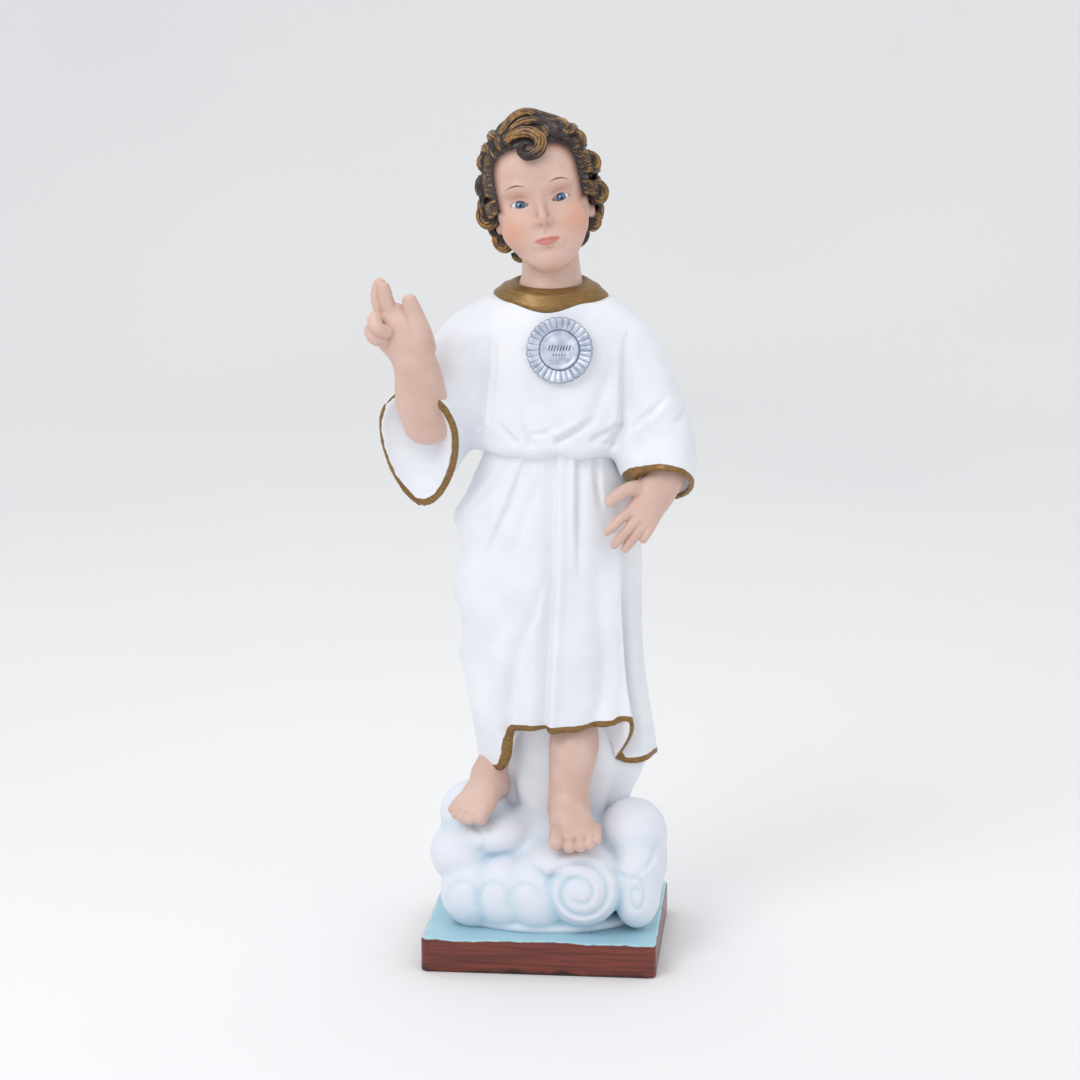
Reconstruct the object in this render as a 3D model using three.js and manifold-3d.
// A standing child figure in a long robe, cast in one piece with the bank of cloud and the square base under it.
// Millimetres, +Z up, the figure faces -Y. The origin is the centre of the base's underside.
// Angles round the robe are in degrees from the front, positive towards +X, which is the figure's left.
import * as THREE from "three";
import { ParametricGeometry } from "three/addons/geometries/ParametricGeometry.js";
import { mergeVertices } from "three/addons/utils/BufferGeometryUtils.js";
import Module from "manifold-3d";

const wasm = await Module();
wasm.setup();

// Driving dimensions
const BASE_WIDTH = 166;
const BASE_DEPTH = 154;
const BASE_HEIGHT = 25;
const BASE_CORNER = 4;
const BASE_BEVEL = 1.5;

const FRONT_HEM = 165; // the height of the robe's hem over the front leg
const SIDE_HEM = 137; // and at the sides and back
const HEM_LEFT = [-52, -38]; // the angles between which the hem climbs to the front
const HEM_RIGHT = [57, 64]; // and between which it drops again
const HEM_THICKNESS = 5;
const WAIST = 366;

const COLLAR_CENTRE = [1.8, 0];
const COLLAR_OUTER = [40, 31, 473]; // half across, half from front to back, and height
const COLLAR_INNER = [25, 21, 484];
const COLLAR_LIFT = 1.8; // how far the band stands out of the robe
const COLLAR_DIP = 6; // how much lower the band is at the front than at the nape

const MEDAL_CENTRE = [11.5, -39.5, 437];
const MEDAL_RADIUS = 22.7;
const MEDAL_DISC = 13;
const MEDAL_THICKNESS = 3;
const MEDAL_FLUTES = 15;
const MEDAL_LEAN = 7; // its top leans back with the chest, in degrees
const STROKES = [[-6, 6, -20], [-2, 4, 0], [2, 6, 20], [6, 4, -20]]; // on its disc: place across, height, lean

const HEAD_CENTRE = [-5, -4, 541];
const HEAD_TILT = 11; // towards the figure's right shoulder
const HEAD_TURN = 4; // towards the figure's left
const SKULL = [40, 42, 51]; // half sizes of the skull with its hair, under the curls
const CURL = 13; // the radius of a full-grown curl of hair

const RAD = Math.PI / 180;
const TURN = 2 * Math.PI;
const at = (x, y, z) => new THREE.Vector3(x, y, z);
const mix = THREE.MathUtils.lerp;
const smooth = THREE.MathUtils.smoothstep;
const bell = (t) => Math.exp(-t * t);

// Geometry and solids

// A geometry as a closed solid. Triangles that closed to a line at a pole are dropped.
function solid(geometry) {
  const bare = geometry.clone();
  bare.deleteAttribute("normal");
  bare.deleteAttribute("uv");
  const merged = mergeVertices(bare, 1e-4);
  const triangles = [];
  for (let i = 0; i < merged.index.count; i += 3) {
    const corners = [0, 1, 2].map((k) => merged.index.getX(i + k));
    if (new Set(corners).size === 3) triangles.push(...corners);
  }
  const build = (order) =>
    new wasm.Manifold(
      new wasm.Mesh({
        numProp: 3,
        vertProperties: merged.attributes.position.array,
        triVerts: new Uint32Array(order),
      }),
    );
  const made = build(triangles);
  return made.volume() > 0 ? made : build(triangles.reverse());
}

const join = (geometries) => geometries.map(solid).reduce((whole, next) => whole.add(next));

// A closed skin through rings. A ring is a function from turn, 0 to 1, to a place,
// and the first and the last ring are single points.
function skin(rings, around) {
  const last = rings.length - 1;
  const place = (u, v, target) => target.copy(rings[Math.round(v * last)](u === 1 ? 0 : u));
  return new ParametricGeometry(place, around, last);
}

// The row of a table at a key between two of its rows, on a smooth curve. Keys rise.
function rowAt(rows, key) {
  const last = rows.length - 1;
  const found = rows.findIndex((row) => row[0] >= key);
  const i = Math.min(last - 1, Math.max(0, (found < 0 ? last : found) - 1));
  const [before, a, b, after] = [rows[Math.max(0, i - 1)], rows[i], rows[i + 1], rows[Math.min(last, i + 2)]];
  const span = b[0] - a[0];
  const t = Math.min(1, Math.max(0, (key - a[0]) / span));
  return a.map((_, k) => {
    const slopeA = (b[k] - before[k]) / (b[0] - before[0]);
    const slopeB = (after[k] - a[k]) / (after[0] - a[0]);
    const rise = mix(a[k], b[k], t * t * (3 - 2 * t));
    return rise + span * t * (1 - t) * ((1 - t) * slopeA - t * slopeB);
  });
}

// A rounded limb along a smooth path. A stop is [place, half width, half height, depth below the path],
// where side is the direction of the width. A section deeper than it is high narrows downwards like a pear.
// It starts in a plain point, inside what it grows from, and ends round, or in a point too where it is blunt.
// cap is how far the ends reach beyond the path.
function limb(stops, { side = [1, 0, 0], sides = 7, steps = 4, cap = 0.8, blunt = false } = {}) {
  const curve = new THREE.CatmullRomCurve3(stops.map(([place]) => at(...place)), false, "centripetal");
  const sizes = stops.map(([, wide, high = wide, deep = high], i) => [i, wide, high, deep]);
  const ring = (t, swell, beyond) => {
    const [, wide, high, deep] = rowAt(sizes, t * (stops.length - 1));
    const along = curve.getTangent(t);
    const across = at(...side);
    across.addScaledVector(along, -across.dot(along)).normalize();
    const up = along.clone().cross(across);
    const centre = curve.getPoint(t).addScaledVector(along, beyond * cap * Math.min(wide, high));
    return (turn) => {
      const c = Math.cos(turn * TURN);
      const s = Math.sin(turn * TURN);
      const pear = s < 0 ? 1 - 0.45 * (1 - high / deep) * s * s : 1;
      const rise = s * (s < 0 ? deep : high);
      return centre.clone().addScaledVector(across, c * wide * pear * swell).addScaledVector(up, rise * swell);
    };
  };
  const rings = [];
  for (let i = 0; i <= steps; i++) rings.push(ring(i / steps, 1, 0));
  if (!blunt) rings.push(ring(1, 0.75, 0.65));
  return skin([ring(0, 0, -1), ...rings, ring(1, 0, 1)], sides);
}

// A finger: a limb with a radius at each place. Its few flat sides are set out by a tenth,
// so that they hold as much as a round finger.
const digit = (places, radii) =>
  limb(places.map((place, i) => [place, 1.1 * radii[i]]), { sides: 5, steps: 2, blunt: true });

// An egg-shaped lump.
function lump(centre, radii, across = 9, down = 6) {
  const ball = new THREE.SphereGeometry(1, across, down);
  ball.rotateX(Math.PI / 2);
  ball.scale(...radii);
  ball.translate(...centre);
  return ball;
}

// The base: a square slab with softened edges.
function base() {
  const w = BASE_WIDTH / 2 - BASE_BEVEL;
  const d = BASE_DEPTH / 2 - BASE_BEVEL;
  const outline = new THREE.Shape();
  const corners = [[w, -d], [w, d], [-w, d], [-w, -d]];
  const towards = (a, b) => a + Math.sign(b - a) * BASE_CORNER;
  outline.moveTo(towards(-w, w), -d);
  corners.forEach(([x, y], i) => {
    const [fromX, fromY] = corners[(i + 3) % 4];
    const [toX, toY] = corners[(i + 1) % 4];
    outline.lineTo(towards(x, fromX), towards(y, fromY));
    outline.quadraticCurveTo(x, y, towards(x, toX), towards(y, toY));
  });
  const slab = new THREE.ExtrudeGeometry(outline, {
    depth: BASE_HEIGHT - 2 * BASE_BEVEL,
    bevelThickness: BASE_BEVEL,
    bevelSize: BASE_BEVEL,
    bevelSegments: 1,
    curveSegments: 2,
  });
  return slab.translate(0, 0, BASE_BEVEL);
}

// The cloud: billows heaped round the feet. It is a single skin that rays from its heart reach last.
const CLOUD_HEART = [2, 0, 30];
const BILLOWS = [
  // [centre, half sizes]
  [[2, 8, 64], [64, 54, 46]],
  [[-53, -6, 93], [27, 28, 27]],
  [[-57, -22, 66], [24, 27, 26]],
  [[-53, -38, 48], [25, 32, 25]],
  [[-25, -44, 50], [22, 28, 30]],
  [[2, -46, 50], [22, 27, 31]],
  [[28, -46, 57], [28, 27, 32]],
  [[60, -40, 48], [24, 26, 26]],
  [[60, -10, 80], [26, 32, 28]],
  [[20, -42, 76], [27, 30, 14]],
  [[-36, -20, 88], [28, 30, 18]],
  [[60, 34, 54], [25, 34, 36]],
  [[24, 48, 62], [30, 25, 42]],
  [[-22, 48, 60], [30, 25, 40]],
  [[-56, 30, 56], [25, 34, 34]],
];
const COILS = [
  // [centre, first radius, last radius, turns, angle of the outer end]
  [[28, -71, 59], 6, 24, 1.4, -100],
  [[64, -63, 50], 5, 13, 1, -90],
];

function billowReach(direction) {
  const heart = at(...CLOUD_HEART);
  let furthest = 10;
  BILLOWS.forEach(([centre, radii]) => {
    const to = at(...centre).sub(heart).divide(at(...radii));
    const way = direction.clone().divide(at(...radii));
    const [a, b, c] = [way.lengthSq(), way.dot(to), to.lengthSq() - 1];
    if (b * b > a * c) furthest = Math.max(furthest, (b + Math.sqrt(b * b - a * c)) / a);
  });
  return furthest;
}

function cloudSkin() {
  const [x, y, z] = CLOUD_HEART;
  const ring = (slope, drop = 0) => (turn) => {
    const flat = Math.cos(slope * RAD);
    const way = at(flat * Math.sin(turn * TURN), -flat * Math.cos(turn * TURN), Math.sin(slope * RAD));
    return way.multiplyScalar(billowReach(way)).add(at(x, y, z - drop));
  };
  const slopes = [0, 9, 18, 27, 36, 45, 55, 68];
  return skin([() => at(x, y, z - 9), ring(0, 8), ...slopes.map((slope) => ring(slope)), ring(90)], 38);
}

function coil([x, y, z], inner, outer, turns, start) {
  const stops = [];
  const steps = Math.round(8 * turns) + 2;
  for (let i = 0; i <= steps; i++) {
    const t = i / steps;
    const r = mix(outer, inner, t);
    const angle = start * RAD - t * turns * TURN;
    stops.push([[x + r * Math.cos(angle), y + 0.012 * r * r, z + r * Math.sin(angle)], 3.2, 2.6]);
  }
  return limb(stops, { side: [0, 1, 0], sides: 4, steps, blunt: true });
}

const cloud = () => [cloudSkin(), ...COILS.map((row) => coil(...row))];

// The robe. A row of its outline is [height, left, right, front, back].
const ROBE = [
  [128, -50, 75, -34, 42],
  [165, -54, 69, -40, 42],
  [200, -58, 66, -41, 42],
  [262, -60, 65, -41, 42],
  [313, -61, 62, -40, 41],
  [352, -47, 51, -38, 38],
  [366, -45, 49, -38, 37],
  [374, -52, 57, -43, 41],
  [400, -52, 62, -42, 41],
  [440, -56, 62, -38, 36],
  [460, -49, 54, -31, 30],
  [478, -30, 34, -24, 24],
];
// A fold is a stroke on the robe: its [angle, height] places, its half width in mm,
// and how far it stands out at its two ends, or goes in where that is negative.
const FOLDS = [
  [[[8, 366], [5, 280], [-9, 160]], 5, -2, -6], // the main valley, down the middle
  [[[16, 362], [15, 280], [3, 160]], 6, 1.5, 4],
  [[[34, 366], [33, 300]], 4, -2.5, 0],
  [[[50, 366], [41, 290], [31, 160]], 7, -2, -5],
  [[[62, 320], [54, 158]], 6, 0, 6], // the edge of the front panel
  [[[74, 330], [67, 240], [64, 134]], 5, -2, -22], // the cloth turned in behind it
  [[[88, 320], [80, 134]], 9, 2, 6],
  [[[-20, 356], [-47, 300], [-61, 270]], 5, -3, -4], // drawn from the belt to the figure's right
  [[[-47, 358], [-75, 318]], 4.5, -2.5, -3.5],
  [[[-13, 330], [-27, 280], [-38, 250]], 5, -1.5, -2.5],
  [[[3, 274], [-24, 214], [-36, 176]], 6, -1, -5],
  [[[-62, 332], [-92, 312]], 8, 2, 7], // swags that show at the side
  [[[-62, 286], [-96, 260]], 9, 2, 8],
  [[[-66, 234], [-96, 212]], 7, 1, 6],
  [[[-58, 444], [-66, 380]], 3.5, -3, -3], // creases of the blouse
  [[[64, 444], [60, 382]], 4, -4, -3],
  [[[44, 416], [30, 382]], 4, -1, -3],
  [[[-54, 396], [-38, 378]], 3.5, -1, -3],
  [[[-24, 394], [-18, 378]], 3.5, -1, -3],
];
const BACK_FOLDS = 5; // plain upright folds, evenly across the back

function backFolds() {
  const rows = [];
  for (let i = 0; i < BACK_FOLDS; i++) {
    const angle = mix(118, 242, i / (BACK_FOLDS - 1));
    const foot = angle + (angle - 180) * 0.12;
    rows.push([[[angle, 356], [foot, 134]], 6, -2, -6]);
  }
  return rows;
}
const ALL_FOLDS = [...FOLDS, ...backFolds()];

const apart = (a, b) => ((a - b + 540) % 360) - 180; // from one angle to another, -180 to 180

// How far a fold moves the robe's surface at an angle and height.
function foldAt([path, width, first, last], angle, height) {
  let nearest = Infinity;
  let along = 0;
  path.slice(1).forEach((end, i) => {
    const start = path[i];
    const [da, dz] = [apart(end[0], start[0]), end[1] - start[1]];
    const [pa, pz] = [apart(angle, start[0]), height - start[1]];
    const t = Math.min(1, Math.max(0, (pa * da + pz * dz) / (da * da + dz * dz)));
    const gap = Math.hypot(pa - t * da, pz - t * dz);
    if (gap >= nearest) return;
    nearest = gap;
    along = (i + t) / (path.length - 1);
  });
  return mix(first, last, along) * bell(nearest / width);
}

const SQUARENESS = 2.2; // the power of the robe's outline, between an ellipse at 2 and a box

// A place on the robe, or inset from it.
function onRobe(angle, height, inset = 0) {
  const [, left, right, front, back] = rowAt(ROBE, height);
  const s = Math.sin(angle * RAD);
  const c = -Math.cos(angle * RAD);
  const half = [(right - left) / 2, (back - front) / 2];
  const sum = Math.abs(s / half[0]) ** SQUARENESS + Math.abs(c / half[1]) ** SQUARENESS;
  const folds = ALL_FOLDS.reduce((total, fold) => total + foldAt(fold, angle, height), 0);
  const r = sum ** (-1 / SQUARENESS) + folds - inset;
  return at((left + right) / 2 + s * r, (front + back) / 2 + c * r, height);
}

function hemAt(angle) {
  const turned = apart(angle, 0);
  const up = smooth(turned, ...HEM_LEFT) * (1 - smooth(turned, ...HEM_RIGHT));
  return mix(SIDE_HEM, FRONT_HEM, up);
}

// A place on the collar, a flat band round the neck: share is 0 at its outer edge and 1 at its inner.
function onCollar(angle, share, lift) {
  const [across, deep, height] = COLLAR_OUTER.map((value, k) => mix(value, COLLAR_INNER[k], share));
  const [s, c] = [Math.sin(angle * RAD), Math.cos(angle * RAD)];
  const x = COLLAR_CENTRE[0] + (across + lift * 0.6) * s;
  const y = COLLAR_CENTRE[1] - (deep + lift * 0.6) * c;
  return at(x, y, height + lift * 0.8 - (COLLAR_DIP / 2) * (1 + c));
}

const AROUND = 42; // places in each ring of the robe
const CROWDING = 20; // how far, in degrees, they draw together towards the front, where the folds are
const SKIRT_STEPS = 7; // rings from the hem to the waist
const BLOUSE_HEIGHTS = [372, 382, 398, 418, 440, 457]; // rings above it

// The robe and its collar.
function robe() {
  const angleOf = (turn) => turn * 360 - CROWDING * Math.sin(turn * TURN);
  const ring = (heightAt, inset = 0) => (turn) => onRobe(angleOf(turn), heightAt(angleOf(turn)), inset);
  const rings = [() => at(5, 0, FRONT_HEM + 6), ring(hemAt, HEM_THICKNESS), ring(hemAt)];
  for (let i = 1; i <= SKIRT_STEPS; i++) {
    rings.push(ring((angle) => mix(hemAt(angle), WAIST, (i / SKIRT_STEPS) ** 0.9)));
  }
  BLOUSE_HEIGHTS.forEach((height) => rings.push(ring(() => height)));
  [[0, 0], [0.05, COLLAR_LIFT], [1, COLLAR_LIFT], [1, -2]].forEach(([share, lift]) => {
    rings.push((turn) => onCollar(angleOf(turn), share, lift));
  });
  rings.push(() => at(2, 0, COLLAR_INNER[2] - 6));
  return skin(rings, AROUND);
}

// The cloth that hangs inside the hem, round and behind the legs, down to the cloud.
const UNDERSKIRT = [
  [94, -26, 52, -14, 34],
  [112, -33, 58, -20, 36],
  [138, -42, 72, -27, 38],
  [172, -46, 66, -34, 39],
];

function underskirt() {
  const ring = (height) => (turn) => {
    const [, left, right, front, back] = rowAt(UNDERSKIRT, height);
    const angle = turn * TURN;
    const x = mix(left, right, 0.5 + 0.5 * Math.sin(angle));
    const y = mix(front, back, 0.5 - 0.5 * Math.cos(angle));
    return at(x, y, height);
  };
  const heights = [94, 112, 138, 172];
  return skin([() => at(10, 10, 92), ...heights.map(ring), () => at(10, 0, 174)], 16);
}

// The arms, each as a sleeve with a hollow mouth and the bare forearm that comes out of it.
const SLEEVE_WALL = 3.5;
const RIGHT_SLEEVE = [
  // [centre, half width, half height, depth below the centre]
  [[-26, 2, 450], 24, 26],
  [[-53, 0, 436], 24, 29],
  [[-72, -8, 405], 23, 31],
  [[-80, -26, 386], 26, 32, 44],
  [[-86, -46, 379], 30, 34, 58],
];
const LEFT_SLEEVE = [
  [[30, 2, 450], 24, 27],
  [[56, 1, 430], 23, 30],
  [[73, -4, 394], 22, 30],
  [[83, -11, 365], 21.5, 28],
  [[82, -25, 342], 22, 30],
];
// The cloth that hangs between the sleeves and the sides of the blouse.
const DRAPES = [
  [[[-40, 4, 396], 14, 24], [[-58, -10, 384], 14, 26], [[-74, -26, 368], 16, 28]],
  [[[44, 4, 400], 14, 26], [[55, -6, 380], 16, 26], [[66, -14, 354], 16, 26]],
];

// The cavity of a sleeve's mouth, from a little outside the rim back into the sleeve.
function mouth(stops, side) {
  const [inside, rim] = stops.slice(-2);
  const step = (t) => inside[0].map((value, k) => mix(value, rim[0][k], t));
  const narrow = ([, ...sizes], share) => sizes.map((size) => (size - SLEEVE_WALL) * share);
  const places = [
    [step(0), ...narrow(rim, 0.8)],
    [step(0.6), ...narrow(rim, 0.94)],
    [step(1), ...narrow(rim, 1)],
    [step(1.35), ...narrow(rim, 1.03)],
  ];
  return limb(places, { side, sides: 12, steps: 3, cap: 0.5, blunt: true });
}

function sleeve(stops, side) {
  const cloth = solid(limb(stops, { side, sides: 12, steps: 5, cap: 0.12, blunt: true }));
  return cloth.subtract(solid(mouth(stops, side)));
}

const rightArm = () => [
  limb([
    [[-80, -22, 384], 18],
    [[-82, -38, 394], 18.5],
    [[-84, -52, 414], 16.5],
    [[-86, -60, 436], 13.5, 10.5],
  ], { steps: 3 }),
  limb([
    [[-86, -60, 434], 13.5, 10],
    [[-92, -64, 446], 18, 9],
    [[-100, -65, 458], 14.5, 8],
    [[-103, -65, 464], 10, 6.5],
  ], { steps: 4 }),
  digit([[-104, -63, 460], [-108, -62, 477], [-107, -63, 486]], [5.2, 4.4, 3.7]),
  digit([[-99, -66, 460], [-104, -69, 475], [-105.5, -70, 483]], [5.2, 4.4, 3.7]),
  digit([[-106, -64, 460], [-109, -72, 462], [-105, -77, 456], [-100, -73, 453]], [5, 5, 4.8, 4.4]),
  digit([[-110, -63, 455], [-113, -70, 455], [-109, -74, 449], [-104, -71, 447]], [4.6, 4.4, 4.2, 4]),
  digit([[-84, -62, 440], [-85, -68, 459], [-88.2, -71, 473]], [9, 6.6, 4.5]),
];

const leftArm = () => [
  limb([
    [[90, -10, 366], 15],
    [[86, -20, 356], 15.5],
    [[79, -31, 344], 14.5],
    [[72, -36, 333], 12, 10],
  ], { steps: 3 }),
  limb([
    [[74, -35, 336], 12, 10],
    [[66, -38, 325], 14.5, 9],
    [[60, -39, 317], 13.5, 7],
  ], { side: [0.75, 0, -0.66] }),
  digit([[58, -41, 325], [50, -42, 317], [43.5, -40, 310]], [4.8, 4.3, 3.5]),
  digit([[61, -41, 320], [54, -42, 311], [49, -40, 303]], [4.8, 4.4, 3.6]),
  digit([[65, -39, 317], [60, -40, 309], [56, -38, 302]], [4.7, 4.3, 3.5]),
  digit([[70, -36, 316], [67, -37, 310], [64, -36, 304]], [4.4, 4, 3.4]),
  digit([[64, -36, 341], [54, -41, 339], [45, -41, 331]], [6.5, 5.2, 3.9]),
];

// The legs and feet. A row of toes is [across, front to back, height, radius], big toe first,
// and the step is from a toe's tip back to its root.
const LEFT_TOES = [
  [13.5, -70, 93, 6.3],
  [23, -72, 91.5, 4.7],
  [30.5, -71.5, 92, 4.3],
  [36.5, -69, 94, 4],
  [41, -65, 97, 3.8],
];
const RIGHT_TOES = [
  [-45.5, -52, 101, 6],
  [-53.5, -52, 101, 4.6],
  [-59.5, -49.5, 102, 4.2],
  [-64, -46, 104, 3.9],
  [-66.5, -41, 106.5, 3.6],
];

const toes = (rows, [stepX, stepY, stepZ]) =>
  rows.map(([x, y, z, radius]) => {
    const root = [[x + stepX, y + stepY, z + stepZ], radius];
    return limb([root, [[x, y - 1, z], radius]], { sides: 5, steps: 1, blunt: true });
  });

const leftFoot = () => [
  limb([
    [[22, -20, 172], 18],
    [[21, -26, 148], 17],
    [[18, -32, 124], 14],
    [[18, -34, 108], 14.5],
  ], { steps: 4 }),
  limb([
    [[18, -24, 107], 14, 13],
    [[20, -42, 106], 14.5, 13],
    [[23, -56, 98], 16.5, 9.5],
    [[26, -64, 94], 17.5, 7],
  ], { steps: 4 }),
  ...toes(LEFT_TOES, [0, 9, 4]),
];

const rightFoot = () => [
  limb([
    [[-38, -4, 150], 14],
    [[-40, -12, 134], 13.5],
    [[-42, -18, 122], 14],
  ], { steps: 2 }),
  limb([
    [[-37, -10, 118], 13, 13],
    [[-43, -25, 119], 14, 13],
    [[-49, -37, 110], 15.5, 9.5],
    [[-53, -44, 105], 16, 7],
  ], { side: [0.93, -0.37, 0] }),
  ...toes(RIGHT_TOES, [3, 8, 5]),
];

// The head and hair, in the head's own frame: its centre at the origin, the face to -Y.
// A row of the head's outline is [height, half width, front, back].
const HEAD = [
  [-50, 7, -30, -14],
  [-45, 15, -33.5, -6],
  [-34, 23, -35, 10],
  [-19, 29, -35, 24],
  [-4, 32, -35, 33],
  [14, 34, -36, 37],
  [31, 32, -34, 36],
  [43, 23, -24, 28],
  [50, 9, -8, 12],
];

// What the sockets, lids, lips, cheeks and chin add to the face's front at a place across and up.
function faceRelief(x, z) {
  const side = Math.abs(x);
  const eye = -3.4 * bell((side - 14) / 9) * bell((z + 2) / 7) + 2.4 * bell((side - 14) / 5) * bell((z + 4) / 3.5);
  const cheek = 1.8 * bell((side - 18) / 9) * bell((z + 19) / 10);
  const lips = 3.4 * bell(side / 9) * bell((z + 28) / 6);
  const chin = 2 * bell(side / 9) * bell((z + 44) / 6);
  return eye + cheek + lips + chin;
}

function face() {
  const ring = (height) => (turn) => {
    const [, half, front, back] = rowAt(HEAD, height);
    const angle = turn * TURN - 0.5 * Math.sin(turn * TURN);
    const x = half * Math.sin(angle);
    const y = mix(back, front, 0.5 + 0.5 * Math.cos(angle));
    const forward = Math.max(0, Math.cos(angle)) ** 0.5;
    return at(x, y - forward * faceRelief(x, height), height);
  };
  const heights = [-50, -44, -37, -30, -24, -16, -9, -4, 2, 10, 30];
  return skin([() => at(0, -22, -52), ...heights.map(ring), () => at(0, 2, 46)], 16);
}

const features = () => [
  face(),
  limb([[[0, -36, 3], 2.4], [[0, -40, -9], 3.2], [[0, -43, -17], 4.8, 4], [[0, -38, -20], 4.6, 3]], { sides: 6, steps: 3 }),
  ...[-1, 1].map((side) => lump([32.5 * side, 2, -9], [4, 6.5, 10], 5, 4)),
];

// One curl: a lock wound up like a snail's shell, with its open side outwards.
// A row of its section is [share of its radius, share of its radius outwards, twist in turns].
const CURL_SECTION = [
  [0.8, -0.45, 0],
  [1, 0.05, 0.12],
  [0.62, 0.5, 0.4],
];
const CURL_STEP = 0.3; // how much the lock draws in over one turn

function curl(centre, outward, radius, start) {
  const out = outward.clone().normalize();
  const right = at(0, 0, 1).cross(out).normalize();
  const up = out.clone().cross(right);
  const ring = ([share, height, twist]) => (turn) => {
    const angle = start + (turn + twist) * TURN;
    const r = radius * share * (1 - CURL_STEP * turn);
    const place = centre.clone().addScaledVector(out, radius * height);
    return place.addScaledVector(right, r * Math.cos(angle)).addScaledVector(up, r * Math.sin(angle));
  };
  const pole = (height) => () => centre.clone().addScaledVector(out, radius * height);
  return skin([pole(-0.5), ...CURL_SECTION.map(ring), pole(0.35)], 6);
}

// Rows of curls over the skull: [height, curls, first angle, last angle, curl size].
const CURL_ROWS = [
  [41, 2, 110, 250, 1.15],
  [28, 5, 50, 310, 1],
  [10, 5, 64, 296, 1],
  [-9, 5, 74, 286, 1],
  [-28, 4, 98, 264, 1],
  [-40, 2, 160, 212, 0.8],
];

function hair() {
  const curls = [];
  CURL_ROWS.forEach(([height, count, first, last, size], row) => {
    for (let i = 0; i < count; i++) {
      const angle = mix(first, last, i / (count - 1)) * RAD;
      const flat = Math.sqrt(1 - (height / (SKULL[2] + 3)) ** 2);
      const centre = at(SKULL[0] * flat * Math.sin(angle), 4 - SKULL[1] * flat * Math.cos(angle), height);
      const outward = at(centre.x / SKULL[0], (centre.y - 4) / SKULL[1], centre.z / SKULL[2] + 0.1);
      curls.push(curl(centre, outward, CURL * size, (row * 2.1 + i * 1.7) % TURN));
    }
  });
  const forelock = curl(at(-4, -33, 38), at(-0.1, -1, 0.5), CURL * 1.1, 2.4);
  const topKnot = curl(at(-4, -12, 52), at(0.2, -0.8, 0.6), CURL, 0.6);
  const cap = lump([0, 6, 8], [SKULL[0] - 1, SKULL[1] - 2, SKULL[2] - 6], 9, 5);
  return [cap, forelock, topKnot, ...curls];
}

function head() {
  const pose = new THREE.Matrix4().makeRotationFromEuler(
    new THREE.Euler(0, -HEAD_TILT * RAD, HEAD_TURN * RAD, "YXZ"),
  );
  pose.setPosition(...HEAD_CENTRE);
  const posed = [...features(), ...hair()].map((geometry) => geometry.applyMatrix4(pose));
  const neck = limb([[[2, 2, 470], 21], [[2, 1, 486], 20], [[0, 0, 512], 19.5]], { sides: 10, steps: 3 });
  return [neck, ...posed];
}

// The medallion on the chest: a fluted rim round a plain disc with rows of shallow strokes.
function medallion() {
  const ring = (radius, out, flute = 0) => (turn) => {
    const wave = flute * Math.cos(turn * TURN * MEDAL_FLUTES);
    const r = radius + wave;
    return at(r * Math.cos(turn * TURN), -out - wave * 0.5, r * Math.sin(turn * TURN));
  };
  const thick = MEDAL_THICKNESS;
  const body = skin([
    () => at(0, 6, 0),
    ring(MEDAL_RADIUS - 1, -6),
    ring(MEDAL_RADIUS, thick - 2, 0.5),
    ring(MEDAL_RADIUS - 1.5, thick, 0.5),
    ring(MEDAL_DISC + 1, thick - 1.2, 0.3),
    ring(MEDAL_DISC, thick - 0.4),
    () => at(0, -thick, 0),
  ], 2 * MEDAL_FLUTES);
  const strokes = STROKES.map(([across, height, lean]) => {
    const stroke = new THREE.BoxGeometry(1.2, 2, height);
    stroke.rotateY(lean * RAD);
    return stroke.translate(across, -thick - 0.2, 0);
  });
  return [body, ...strokes].map((piece) => piece.rotateX(-MEDAL_LEAN * RAD).translate(...MEDAL_CENTRE));
}

// The whole casting
function statue() {
  const body = join([base(), ...cloud(), underskirt(), ...leftFoot(), ...rightFoot(), robe()]);
  return body
    .add(sleeve(RIGHT_SLEEVE, [1, 0, 0]))
    .add(sleeve(LEFT_SLEEVE, [1, 0.2, 0]))
    .add(join(DRAPES.map((stops) => limb(stops, { side: [1, 0, 0], blunt: true }))))
    .add(join(rightArm()))
    .add(join(leftArm()))
    .add(join(head()))
    .add(join(medallion()));
}

// A body without the bubbles that its overlapping lumps enclose.
const withoutBubbles = (body) => body.decompose().reduce((a, b) => (a.volume() > b.volume() ? a : b));

// A named mesh from a finished solid.
function mesh(name, body, material) {
  const { vertProperties, triVerts } = body.getMesh();
  const geometry = new THREE.BufferGeometry();
  geometry.setAttribute("position", new THREE.BufferAttribute(vertProperties, 3));
  geometry.setIndex(new THREE.BufferAttribute(triVerts, 1));
  geometry.computeVertexNormals();
  const made = new THREE.Mesh(geometry, material);
  made.name = name;
  return made;
}

const white = new THREE.MeshStandardMaterial({ color: 0xeceef4, roughness: 0.5, metalness: 0 });
const figure = new THREE.Group();
figure.add(mesh("statue", withoutBubbles(statue()), white));

export default figure;
